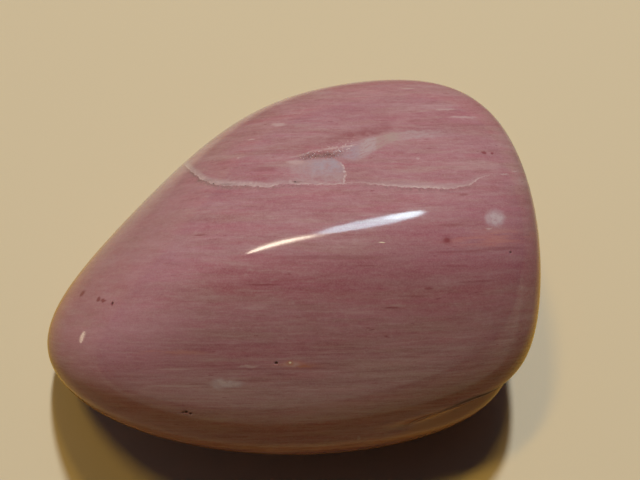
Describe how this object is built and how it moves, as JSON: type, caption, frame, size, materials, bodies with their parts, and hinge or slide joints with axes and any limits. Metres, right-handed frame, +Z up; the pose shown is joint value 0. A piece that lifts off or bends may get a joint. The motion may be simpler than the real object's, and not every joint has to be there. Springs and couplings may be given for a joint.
{
  "type": "petrified wood pebble",
  "caption": "Tumbled, polished pebble of pink petrified wood with fine grain and a pale quartz vein, resting on a worn flat.",
  "frame": {"origin": "on the ground, below the point that the worn faces are measured from, inside the worn flat that the stone rests on", "axes": "+X along the wood grain towards the blunt end, +Y towards the steep back, +Z up; the stone rests on the ground at z = 0"},
  "size_m": [0.0466, 0.0373, 0.0242],
  "materials": {
    "polished_wood": "polished, waxy gloss, pink with fine grain"
  },
  "bodies": {
    "root": {"stone": "polished_wood"}
  },
  "joints": []
}
